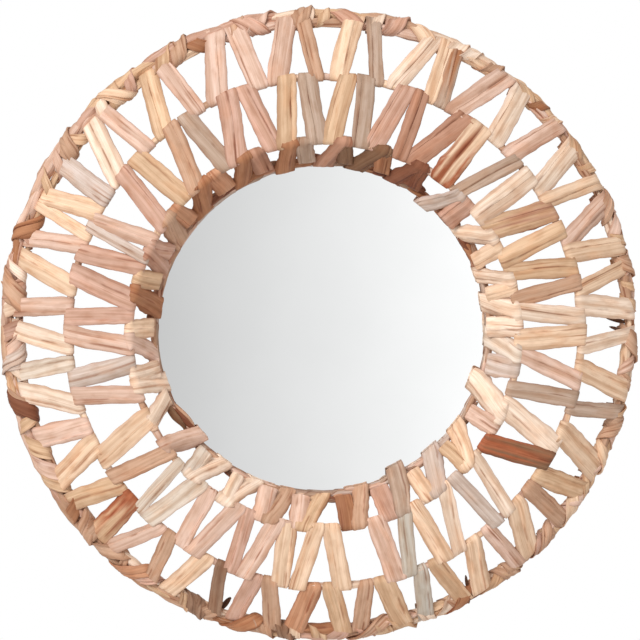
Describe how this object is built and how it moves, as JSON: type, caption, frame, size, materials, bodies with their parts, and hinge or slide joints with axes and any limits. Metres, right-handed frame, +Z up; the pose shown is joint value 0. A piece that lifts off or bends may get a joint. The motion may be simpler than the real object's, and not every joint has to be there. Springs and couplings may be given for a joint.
{
  "type": "wall mirror",
  "caption": "Round wall mirror in a woven frame of dried leaf strips that zigzag between stepped rings, hung from a keyhole plate on its back.",
  "frame": {"origin": "on the back face of the hanger plate, where the mirror hangs, just above the keyhole's slot", "axes": "+Y into the wall, so the glass looks along -Y; +Z up; +X to the right as seen from the front"},
  "size_m": [0.5996, 0.0536, 0.5994],
  "materials": {
    "mirror_glass": "silvered, polished",
    "board": "fibreboard, matt",
    "plated_steel": "zinc plated, satin",
    "leaf": "dried leaf, from cream and honey to russet, satin",
    "wrapping": "dried leaf wound on itself, satin"
  },
  "bodies": {
    "root": {"mirror_glass": "mirror_glass", "backing_board": "board", "hanger_plate": "plated_steel", "hanger_screw_left": "plated_steel", "hanger_screw_right": "plated_steel", "outer_rim": "wrapping", "second_ring": "wrapping", "third_ring": "wrapping", "inner_ring": "wrapping", "outer_weave": "leaf", "middle_weave": "leaf", "inner_weave": "leaf"}
  },
  "joints": []
}
